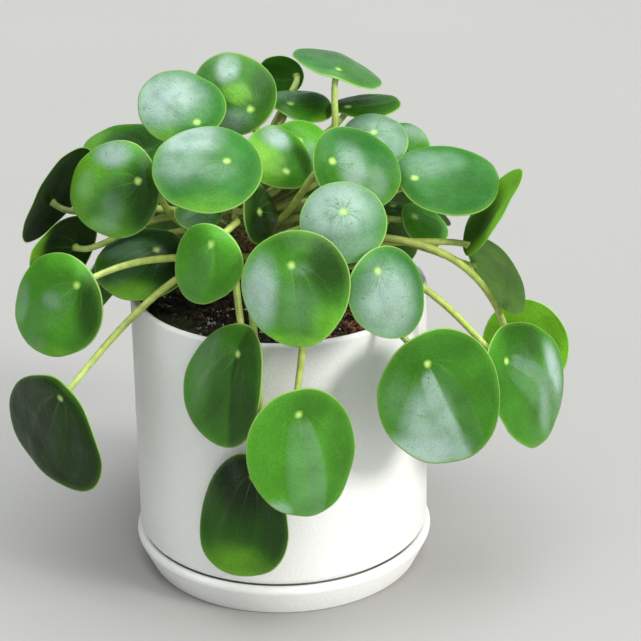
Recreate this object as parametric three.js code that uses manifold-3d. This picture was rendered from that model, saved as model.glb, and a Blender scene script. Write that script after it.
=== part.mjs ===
// A Chinese money plant (Pilea peperomioides) in a white ceramic pot that stands in its saucer.
// Millimetres, +Z up, origin at the centre of the saucer's base, front towards -Y, right towards +X.
import * as THREE from "three";
import { mergeVertices } from "three/addons/utils/BufferGeometryUtils.js";
import Module from "manifold-3d";

const wasm = await Module();
wasm.setup();

// ---- driving dimensions ----
const GAP = 0.3; // clearance between neighbouring pieces
const TURN_SIDES = 40; // facets round the pot, the saucer and the potting mix

const POT = {
  radius: 75,
  top: 151,
  bottom: 5.3,
  wall: 4,
  floor: 5,
  heelRadius: 5, // the rounded edge where the wall turns in above the saucer
  heelTop: 22.6,
  footRadius: 62,
  drainRadius: 7,
  step: [1.2, 1.5], // how far the foot is set in and down from the rounded edge
  floorRadius: 54, // the flat part of the floor inside
  innerRound: 10, // the rounded corner inside, between wall and floor
  innerRise: 18,
};
const SAUCER = {
  baseRadius: 70.6,
  edgeRound: 1.5,
  crestRadius: 76.9,
  crestTop: 17.8,
  crestInner: 71.4,
  floorRadius: 64,
  floorTop: 5,
  innerFoot: [2.2, 3.5], // the foot of the inner wall: how far in, and how high above the floor
};
const SOIL = {
  top: 144,
  mound: 2.5, // how far the middle stands above the edge
  rough: 1.2, // height of the lumps
  rings: [0.28, 0.5, 0.72, 0.9], // shares of its radius
  holeSides: 10,
  holeAbove: 20, // the cutter's height above the edge
};
const TRUNK = {
  sides: 10,
  rootDepth: 26, // how far it stands down in the potting mix
  rootRadius: 6.2,
  tipRadius: 4.2,
  knobs: 0.5, // swelling at the old leaf scars
  steps: 12,
  bud: 7, // height of the growing tip
  budRadius: 1.2,
  // its centre line above the potting mix, from the ground to the growing tip
  line: [
    [-3, 0, 150],
    [-5, -4, 160],
    [-11, -12, 174],
    [-17, -19, 192],
    [-19, -22, 203],
  ],
};
const STALK = {
  sides: 5,
  steps: 7,
  rootRadius: 2.1,
  tipRadius: 1.5,
  sunk: 2.5, // how far its root is sunk into the trunk
  outward: 0.35, // how far it leans out and rises at first, as shares of its span
  rise: 0.3,
  reach: 0.42, // how far it runs straight into the blade, as a share of the blade's length
  tilt: 35,
};
const BLADE = {
  thickness: 1,
  sides: 16,
  rings: [0.55, 1], // shares of the way from the eye to the margin
  fold: 1.5,
  crease: 3, // half width of the rounded middle of the fold
  egg: -0.06,
};

const COLOURS = {
  ceramic: 0xf1f1ee,
  soil: 0x2b211b,
  stem: 0xa9bd62,
  blade: 0x3f8a32,
};

// Each leaf: the eye where the stalk meets the blade [x, y, z]; the way its upper face looks, as
// [azimuth, elevation] in degrees (azimuth 0 is the front, 90 the right); the turn of its tip from
// straight downhill; length, width; the share of the length that lies behind the eye; how far the margin
// drops below the eye; and the height share of its root on the trunk. The last value holds the rest:
//   fold  how far both sides bend away from the face, about the line from the eye to the tip
//   wave  of the margin: [height, waves all round, where it starts in degrees]
//   egg   how much wider the outline is towards the tip, and narrower below 0
//   bow   the point that pulls the stalk's lower half, where the stalk shows its own course
//   reach how far the stalk runs straight into the blade
//   tilt  its angle to the blade's normal, leaning towards the base
const LEAVES = [
  ["leaf_01", [32, 15, 259], [95, 70], 80, 50, 47, 0.12, 4, 0.9,
    { bow: [47, 18, 208], reach: 21, tilt: 21 }],
  ["leaf_02", [-38, -5, 240], [0, 57], -150, 46, 43, 0.14, 5, 0.85, {}],
  ["leaf_03", [-12, 15, 239], [-10, 37], -132, 45, 42, 0.19, 5, 0.95, { reach: 18, tilt: 20 }],
  ["leaf_04", [-23, -55, 238], [5, 54], -89, 53, 49, 0.32, 5, 0.95,
    { bow: [-22, -34, 222], reach: 14, tilt: 25 }],
  ["leaf_05", [-66, -45, 225], [-26, 21], -68, 49, 47, 0.17, 6, 0.6,
    { bow: [-62, 0, 176], reach: 18, tilt: 20 }],
  ["leaf_06", [-67, 20, 216], [-40, 65], -92, 48, 45, 0.15, 5, 0.7, {}],
  ["leaf_07", [-112, -4, 200], [-120, 27], 153, 59, 55, 0.31, 4, 0.65,
    { bow: [-60, 4, 206], reach: 20, tilt: 20 }],
  ["leaf_08", [-102, -5, 176], [-135, 14], 105, 44, 41, 0.25, 4, 0.55,
    { bow: [-54, 10, 208], reach: 18, tilt: 20 }],
  ["leaf_09", [-97, -55, 176], [-31, 17], -45, 53, 50, 0.15, 5, 0.35,
    { bow: [-55, -32, 181], reach: 30, tilt: 50 }],
  ["leaf_10", [-107, -70, 123], [-43, -5], -27, 63, 64, 0.12, 3, 0.35,
    { bow: [-46, -34, 192], reach: 24, tilt: 45, egg: 0.3, wave: [2, 2, 75] }],
  ["leaf_11", [-31, -85, 208], [-30, 16], -21, 39, 36, 0.2, 5, 0.75, { egg: -0.14 }],
  ["leaf_12", [-60, -15, 177], [-4, 60], -59, 48, 45, 0.32, 5, 0.3, {}],
  ["leaf_13", [6, -105, 205], [-10, 27], 10, 54, 51, 0.31, 6, 0.45,
    { bow: [-4, -55, 168], reach: 20, tilt: 30 }],
  ["leaf_14", [46, -100, 199], [33, 18], 28, 45, 42, 0.19, 5, 0.5,
    { bow: [18, -45, 170], reach: 18, tilt: 30 }],
  ["leaf_15", [31, -80, 221], [0, 47], -4, 43, 41, 0.42, 5, 0.6,
    { bow: [6, -30, 188], reach: 18, tilt: 30 }],
  ["leaf_16", [27, -45, 233], [30, 39], 71, 47, 44, 0.18, 5, 0.7,
    { bow: [12, -26, 194], reach: 18, tilt: 30 }],
  ["leaf_17", [67, -30, 218], [28, 63], 87, 54, 48, 0.13, 5, 0.8, {}],
  ["leaf_18", [49, 5, 229], [3, 63], 1, 37, 34, 0.45, 4, 0.85,
    { bow: [24, 8, 200], reach: 16, tilt: 20 }],
  ["leaf_19", [5, -25, 221], [32, 50], 165, 37, 35, 0.22, 4, 1, {}],
  ["leaf_20", [12, 0, 227], [2, 42], -9, 34, 32, 0.38, 4, 0.9,
    { bow: [-4, 8, 210], reach: 12, tilt: 15 }],
  ["leaf_21", [12, 66, 239], [169, 9], 98, 24, 23, 0.16, 2, 0.9,
    { bow: [-4, 62, 216], reach: 8, tilt: 28 }],
  ["leaf_22", [8, 34, 235], [52, 74], 83, 34, 32, 0.21, 3, 0.95,
    { bow: [-6, 24, 214], reach: 14, tilt: 20 }],
  ["leaf_23", [37, 33, 233], [60, 88], 70, 37, 33, 0.15, 2, 0.9, {}],
  ["leaf_24", [-8, -48, 209], [64, 15], 66, 32, 30, 0.26, 4, 0.9, {}],
  ["leaf_25", [-33, -25, 204], [8, 64], -71, 24, 22, 0.25, 3, 0.9, { reach: 8, tilt: 20 }],
  ["leaf_26", [69, 2, 185], [48, 48], 49, 28, 26, 0.22, 3, 0.6, { reach: 12, tilt: 20 }],
  ["leaf_27", [59, 15, 186], [36, 84], 41, 24, 22, 0.48, 3, 0.5,
    { bow: [42, 8, 168], reach: 14, tilt: 10 }],
  ["leaf_28", [95, -20, 177], [94, -34], -179, 50, 42, 0.08, 1, 0.55,
    { bow: [64, -40, 188], reach: 9, tilt: 10, egg: -0.2 }],
  ["leaf_29", [101, 6, 157], [121, 15], -98, 48, 42, 0.06, 2, 0.5,
    { bow: [56, -10, 194], reach: 8, tilt: 25, egg: 0.1 }],
  ["leaf_30", [122, 14, 106], [165, -8], -120, 45, 47, 0.36, 3, 0.45,
    { bow: [114, -64, 228], reach: 16, tilt: 20, egg: 0.1 }],
  ["leaf_31", [111, -52, 129], [54, 20], 45, 70, 62, 0.17, 3, 0.25,
    { bow: [67, -40, 200], reach: 12, tilt: 40, fold: 4, egg: 0.2, wave: [4, 2, 295] }],
  ["leaf_32", [70, -85, 144], [20, 11], 22, 69, 63, 0.2, 3, 0.3, { fold: 4 }],
  ["leaf_33", [-20, -102, 159.5], [-54, 15], -31, 66, 54, 0.21, 3, 0.3,
    { bow: [-32, -58, 207], reach: 9, tilt: 0, fold: 4, egg: 0.3, wave: [1.2, 2, 146] }],
  ["leaf_34", [8, -116, 134], [15, 0], 6, 69, 53, 0.17, 3, 0.35,
    { bow: [26, -71, 186], reach: 14, tilt: 30, fold: 3 }],
  ["leaf_35", [-15, -94, 90], [-40, 6], -14, 66, 53, 0.16, 2, 0.3,
    { bow: [-22, -88, 208], reach: 20, tilt: 50, egg: 0.1, wave: [6, 2, 149] }],
  ["leaf_36", [62, 8, 221], [5, 62], 160, 32, 30, 0.4, 4, 0.75,
    { bow: [36, 14, 192], reach: 14, tilt: 5 }],
  ["leaf_37", [-22, 62, 200], [180, 55], 10, 50, 47, 0.3, 5, 0.8, {}],
  ["leaf_38", [27, 68, 194], [165, 50], -10, 52, 49, 0.28, 5, 0.75, {}],
  ["leaf_39", [-64, 52, 186], [-145, 45], 15, 54, 50, 0.26, 5, 0.6, {}],
  ["leaf_40", [66, 46, 186], [135, 45], -15, 48, 45, 0.28, 5, 0.6, {}],
  ["leaf_41", [2, 100, 168], [180, 28], 5, 58, 54, 0.24, 5, 0.5,
    { bow: [-4, 40, 196], reach: 20, tilt: 35 }],
  ["leaf_42", [-46, 92, 158], [-158, 28], 12, 56, 53, 0.25, 5, 0.45,
    { bow: [-28, 40, 190], reach: 20, tilt: 35 }],
  ["leaf_43", [50, 92, 156], [152, 28], -8, 55, 52, 0.24, 5, 0.45,
    { bow: [24, 40, 190], reach: 20, tilt: 35 }],
  ["leaf_44", [-90, 46, 150], [-122, 25], 10, 52, 49, 0.25, 5, 0.4,
    { bow: [-50, 28, 186], reach: 20, tilt: 35 }],
  ["leaf_45", [52, 50, 205], [140, 62], -12, 42, 39, 0.28, 4, 0.7, {}],
  ["leaf_46", [2, 116, 114], [-176, 8], 4, 62, 58, 0.2, 5, 0.35,
    { bow: [-2, 70, 212], reach: 26, tilt: 50 }],
  ["leaf_47", [46, 106, 110], [160, 8], -6, 56, 53, 0.2, 5, 0.3,
    { bow: [28, 72, 212], reach: 26, tilt: 50 }],
  ["leaf_48", [-46, 104, 108], [-158, 10], 8, 54, 50, 0.2, 5, 0.3,
    { bow: [-32, 74, 212], reach: 26, tilt: 40 }],
];

const { PI, sin, cos, sqrt, hypot } = Math;
const rad = THREE.MathUtils.degToRad;
const vec = (p) => new THREE.Vector3(...p);

// ---- meshes and solids ----

function geometryOf(points, faces) {
  const geometry = new THREE.BufferGeometry();
  geometry.setAttribute("position", new THREE.Float32BufferAttribute(points.flat(), 3));
  geometry.setIndex(faces.flat());
  return geometry;
}

function toSolid(geometry) {
  const bare = geometry.clone();
  bare.deleteAttribute("normal");
  bare.deleteAttribute("uv");
  const merged = mergeVertices(bare, 1e-4);
  return new wasm.Manifold(
    new wasm.Mesh({
      numProp: 3,
      vertProperties: new Float32Array(merged.attributes.position.array),
      triVerts: new Uint32Array(merged.index.array),
    }),
  );
}

function toGeometry(solid) {
  const { vertProperties, triVerts } = solid.getMesh();
  const geometry = new THREE.BufferGeometry();
  geometry.setAttribute("position", new THREE.BufferAttribute(vertProperties, 3));
  geometry.setIndex(new THREE.BufferAttribute(triVerts, 1));
  return geometry;
}

function piece(name, geometry, colour, roughness) {
  const flat = geometry.index ? geometry.toNonIndexed() : geometry;
  flat.computeVertexNormals();
  const material = new THREE.MeshStandardMaterial({ color: colour, roughness, metalness: 0 });
  const mesh = new THREE.Mesh(flat, material);
  mesh.name = name;
  return mesh;
}

// A closed profile of [radius, height] pairs, turned round the Z axis.
function turned(profile, sides = TURN_SIDES) {
  const points = profile.map(([r, z]) => new THREE.Vector2(r, z));
  return new THREE.LatheGeometry(points, sides).rotateX(PI / 2);
}

// Points of a round corner: an arc about [r, z], between two angles in degrees.
function corner([r, z], radius, from, to, steps) {
  return Array.from({ length: steps + 1 }, (_, i) => {
    const a = rad(from + ((to - from) * i) / steps);
    return [r + radius * cos(a), z + radius * sin(a)];
  });
}

// Rings of points joined into a closed tube, the first and last closed by a flat cap.
function loft(rings) {
  const sides = rings[0].length;
  const points = rings.flat();
  const faces = [];
  for (let k = 0; k + 1 < rings.length; k++)
    for (let i = 0; i < sides; i++) {
      const j = (i + 1) % sides;
      const here = k * sides;
      const next = here + sides;
      faces.push([here + i, here + j, next + j], [here + i, next + j, next + i]);
    }
  const top = (rings.length - 1) * sides;
  for (let i = 1; i + 1 < sides; i++) faces.push([0, i + 1, i], [top, top + i, top + i + 1]);
  return geometryOf(points, faces);
}

// ---- pot, saucer and potting mix ----

function potProfile() {
  const { radius, top, bottom, wall, floor, heelRadius, heelTop, footRadius, drainRadius, step } = POT;
  const lip = wall / 2;
  return [
    [drainRadius, bottom],
    [footRadius, bottom],
    [radius - heelRadius - step[0], heelTop - heelRadius - step[1]],
    ...corner([radius - heelRadius, heelTop], heelRadius, -80, 0, 4),
    ...corner([radius - lip, top - lip], lip, 0, 180, 4),
    ...potInside(0).reverse(),
    [drainRadius, bottom + floor],
  ];
}

// The inside of the pot from its floor up to the straight wall, less a clearance.
function potInside(clearance) {
  const { radius, bottom, wall, floor, floorRadius, innerRound, innerRise } = POT;
  const centre = [radius - wall - innerRound, bottom + floor + innerRise];
  return [
    [floorRadius - clearance, bottom + floor + clearance],
    ...corner(centre, innerRound - clearance, -60, 0, 2),
  ];
}

function makePot() {
  const profile = potProfile();
  return piece("pot", turned([...profile, profile[0]]), COLOURS.ceramic, 0.55);
}

function makeSaucer() {
  const { baseRadius, edgeRound, crestRadius, crestTop, crestInner } = SAUCER;
  const { floorRadius, floorTop, innerFoot } = SAUCER;
  const crestRound = (crestRadius - crestInner) / 2;
  const profile = [
    [0, 0],
    [baseRadius - edgeRound, 0],
    [baseRadius, edgeRound],
    ...corner([crestRadius - crestRound, crestTop - crestRound], crestRound, -20, 180, 5),
    [crestInner - innerFoot[0], floorTop + innerFoot[1]],
    [floorRadius, floorTop],
    [0, floorTop],
  ];
  return piece("saucer", turned(profile), COLOURS.ceramic, 0.55);
}

function soilProfile() {
  return [
    [0, POT.bottom + POT.floor + GAP],
    ...potInside(GAP),
    [POT.radius - POT.wall - GAP, SOIL.top],
  ];
}

// Height of the potting mix: a low mound with lumps that die away at the edge.
function soilHeight(x, y, edge) {
  const inwards = 1 - hypot(x, y) / edge;
  const lumps = 1.2 * sin(x / 7 + 1) * cos(y / 9) + 0.8 * sin((x + y) / 4.5) * sin(y / 5 + 2);
  return SOIL.top + (SOIL.mound + SOIL.rough * lumps) * inwards;
}

function makeSoil() {
  const lower = soilProfile();
  const edge = lower.at(-1)[0];
  const count = TURN_SIDES;
  const surface = (x, y) => soilHeight(x, y, edge);
  const points = [[0, 0, lower[0][1]]];
  const ring = (radius, height) => {
    for (let i = 0; i < count; i++) {
      const a = (2 * PI * i) / count;
      const [x, y] = [radius * cos(a), radius * sin(a)];
      points.push([x, y, height(x, y)]);
    }
  };
  for (const [r, z] of lower.slice(1)) ring(r, () => z);
  for (const share of SOIL.rings.toReversed()) ring(share * edge, surface);
  points.push([0, 0, surface(0, 0)]);
  const rings = lower.length - 1 + SOIL.rings.length;
  const last = points.length - 1;
  const top = last - count;
  const faces = [];
  for (let i = 0; i < count; i++) {
    const j = (i + 1) % count;
    faces.push([0, 1 + j, 1 + i], [last, top + i, top + j]);
    for (let k = 0; k + 1 < rings; k++) {
      const here = 1 + k * count;
      const next = here + count;
      faces.push([here + i, here + j, next + j], [here + i, next + j, next + i]);
    }
  }
  const solid = toSolid(geometryOf(points, faces)).subtract(trunkHole());
  return piece("soil", toGeometry(solid), COLOURS.soil, 0.95);
}

// The plain round hole that the root end of the trunk stands in.
function trunkHole() {
  const [x, y] = TRUNK.line[0];
  const radius = TRUNK.rootRadius + 2 * GAP;
  const bottom = SOIL.top - TRUNK.rootDepth - GAP;
  const height = SOIL.top + SOIL.holeAbove - bottom;
  const hole = new THREE.CylinderGeometry(radius, radius, height, SOIL.holeSides);
  hole.rotateX(PI / 2).translate(x, y, bottom + height / 2);
  return toSolid(hole);
}

// ---- trunk and stalks ----

const trunkLine = new THREE.CatmullRomCurve3(TRUNK.line.map(vec));

function trunkRadius(share) {
  return TRUNK.rootRadius + (TRUNK.tipRadius - TRUNK.rootRadius) * share;
}

// A ring of points about a centre, in the plane of two unit vectors.
function ringAround(centre, across, over, radius, sides) {
  return Array.from({ length: sides }, (_, i) => {
    const a = (2 * PI * i) / sides;
    const point = centre.clone().addScaledVector(across, radius * cos(a));
    return point.addScaledVector(over, radius * sin(a)).toArray();
  });
}

function trunkSolid() {
  const { sides, steps, rootDepth, rootRadius, knobs, line } = TRUNK;
  const across = new THREE.Vector3(1, 0, 0);
  const over = new THREE.Vector3(0, 1, 0);
  const root = vec(line[0]);
  root.z = SOIL.top - rootDepth;
  const rings = [ringAround(root, across, over, rootRadius, sides)];
  for (let k = 0; k <= steps; k++) {
    const share = k / steps;
    const radius = trunkRadius(share) + (k % 2 ? knobs : 0);
    rings.push(ringAround(trunkLine.getPointAt(share), across, over, radius, sides));
  }
  const bud = trunkLine.getPointAt(1).addScaledVector(trunkLine.getTangentAt(1), TRUNK.bud);
  rings.push(ringAround(bud, across, over, TRUNK.budRadius, sides));
  return toSolid(loft(rings));
}

// The blade's own axes: its normal, the way to its tip, and across.
function bladeFrame([azimuth, elevation], turn) {
  const [a, e, t] = [rad(azimuth), rad(elevation), rad(turn)];
  const normal = new THREE.Vector3(sin(a) * cos(e), -cos(a) * cos(e), sin(e));
  const downhill = new THREE.Vector3(sin(a) * sin(e), -cos(a) * sin(e), -cos(e));
  const side = normal.clone().cross(downhill);
  const tip = downhill.multiplyScalar(cos(t)).addScaledVector(side, sin(t));
  return { normal, tip, across: normal.clone().cross(tip) };
}

// A leaf stalk: from inside the trunk, out and up, then over into the underside of the blade.
function stalkSolid([, eye, facing, turn, length, , eyeShare, cup, share, form]) {
  const { normal, tip } = bladeFrame(facing, turn);
  const reach = form.reach ?? STALK.reach * length;
  const tilt = rad(form.tilt ?? STALK.tilt);
  const slope = (cup * BLADE.rings[0]) / (eyeShare * length);
  const end = vec(eye).addScaledVector(normal, -BLADE.thickness - GAP - slope * STALK.tipRadius);
  const into = normal.clone().multiplyScalar(cos(tilt)).addScaledVector(tip, sin(tilt));
  const late = end.clone().addScaledVector(into, -reach);
  const centre = trunkLine.getPointAt(share);
  const pull = form.bow ? vec(form.bow) : late;
  const out = pull.clone().sub(centre).setZ(0).normalize();
  const start = centre.clone().addScaledVector(out, trunkRadius(share) - STALK.sunk);
  const span = start.distanceTo(late);
  const rise = new THREE.Vector3(0, 0, STALK.rise * span);
  const early = form.bow ? pull : start.clone().addScaledVector(out, STALK.outward * span).add(rise);
  const curve = new THREE.CubicBezierCurve3(start, early, late, end);
  const rings = [];
  let over = new THREE.Vector3(0, 0, 1);
  for (let k = 0; k <= STALK.steps; k++) {
    const t = k / STALK.steps;
    const along = curve.getTangent(t);
    const side = along.clone().cross(over).normalize();
    over = side.clone().cross(along).normalize();
    if (k === STALK.steps) {
      // its end lies flat under the blade
      side.addScaledVector(normal, -side.dot(normal)).normalize();
      over = side.clone().cross(normal).normalize();
    }
    const radius = STALK.rootRadius + (STALK.tipRadius - STALK.rootRadius) * t;
    rings.push(ringAround(curve.getPoint(t), side, over, radius, STALK.sides).reverse());
  }
  return toSolid(loft(rings));
}

function makeStem() {
  const stalks = LEAVES.map(stalkSolid);
  const solid = stalks.reduce((whole, stalk) => whole.add(stalk), trunkSolid());
  return piece("stem", toGeometry(solid), COLOURS.stem, 0.6);
}

// ---- leaf blades ----

// Height of the blade's upper face over the eye: v to the side of its middle, at a share of the way to
// the margin.
function bladeHeight(v, share, angle, width, cup, form) {
  const dome = cup * share * share;
  const half = width / 2;
  const aside = sqrt(v * v + BLADE.crease ** 2) - BLADE.crease;
  const fold = ((form.fold ?? BLADE.fold) * aside) / half;
  const [waveHeight, waves, start] = form.wave ?? [0, 0, 0];
  const towardsTip = (share ** 3 * (1 + cos(angle))) / 2;
  const wave = waveHeight * towardsTip * sin(waves * angle + rad(start));
  return wave - dome - fold;
}

function bladeGeometry([, , , , length, width, eyeShare, cup, , form]) {
  const { thickness, sides, rings } = BLADE;
  const points = [[0, 0, 0]];
  for (const share of rings)
    for (let i = 0; i < sides; i++) {
      const a = (2 * PI * i) / sides;
      const u = share * (length * (0.5 - eyeShare) + (length / 2) * cos(a));
      const egg = 1 + (form.egg ?? BLADE.egg) * cos(a);
      const v = share * (width / 2) * sin(a) * egg;
      points.push([u, v, bladeHeight(v, share, a, width, cup, form)]);
    }
  const count = points.length;
  const outer = 1 + (rings.length - 1) * sides;
  const faces = [];
  const both = (a, b, c) => faces.push([a, b, c], [count + a, count + c, count + b]);
  for (let i = 0; i < sides; i++) {
    const j = (i + 1) % sides;
    both(0, 1 + i, 1 + j);
    for (let k = 0; k + 1 < rings.length; k++) {
      const here = 1 + k * sides;
      const next = here + sides;
      both(here + i, next + i, next + j);
      both(here + i, next + j, here + j);
    }
    const [p, q] = [outer + i, outer + j];
    faces.push([p, count + p, count + q], [p, count + q, q]);
  }
  const under = points.map(([u, v, h]) => [u, v, h - thickness]);
  return geometryOf([...points, ...under], faces);
}

function makeBlade(leaf) {
  const [name, eye, facing, turn] = leaf;
  const { normal, tip, across } = bladeFrame(facing, turn);
  const mesh = piece(name, bladeGeometry(leaf), COLOURS.blade, 0.35);
  mesh.position.set(...eye);
  mesh.quaternion.setFromRotationMatrix(new THREE.Matrix4().makeBasis(tip, across, normal));
  return mesh;
}

// ---- the whole plant ----

const foliage = new THREE.Group();
foliage.add(...LEAVES.map(makeBlade));

const plant = new THREE.Group();
plant.add(makeSaucer(), makePot(), makeSoil(), makeStem(), foliage);

export default plant;
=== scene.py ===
"""A Chinese money plant in a white ceramic pot with its saucer, dressed over the CAD frame.

Lengths are in millimetres in the tables and in metres in the meshes; +Z is up, -Y is the front.
"""

import math
import random

import bmesh
import bpy
import numpy as np
from mathutils import Matrix, Vector, noise


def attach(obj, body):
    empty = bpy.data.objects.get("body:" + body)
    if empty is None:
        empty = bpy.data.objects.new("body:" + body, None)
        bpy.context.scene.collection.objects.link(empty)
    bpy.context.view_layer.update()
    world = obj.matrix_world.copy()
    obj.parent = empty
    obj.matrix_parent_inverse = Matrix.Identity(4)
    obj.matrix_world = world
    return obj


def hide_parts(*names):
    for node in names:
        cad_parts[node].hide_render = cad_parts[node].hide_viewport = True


MM = 0.001
BODY = "root"

# ---- the solids' own values, as in the CAD source ----

GAP = 0.3
POT = dict(
    radius=75, top=151, bottom=5.3, wall=4, floor=5, heel_radius=5, heel_top=22.6, foot_radius=62,
    drain_radius=7, step=(1.2, 1.5), floor_radius=54, inner_round=10, inner_rise=18,
)
SAUCER = dict(
    base_radius=70.6, edge_round=1.5, crest_radius=76.9, crest_top=17.8, crest_inner=71.4,
    floor_radius=64, floor_top=5, inner_foot=(2.2, 3.5),
)
SOIL = dict(top=144, mound=2.5, rough=1.2)
TRUNK = dict(
    root_radius=6.2, tip_radius=4.2, root_depth=26, bud=7,
    line=[(-3, 0, 150), (-5, -4, 160), (-11, -12, 174), (-17, -19, 192), (-19, -22, 203)],
)
STALK = dict(root=2.1, tip=1.5, sunk=2.5, outward=0.35, rise=0.3, reach=0.42, tilt=35)
BLADE = dict(thickness=1, first_ring=0.55, fold=1.5, crease=3, egg=-0.06)

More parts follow.
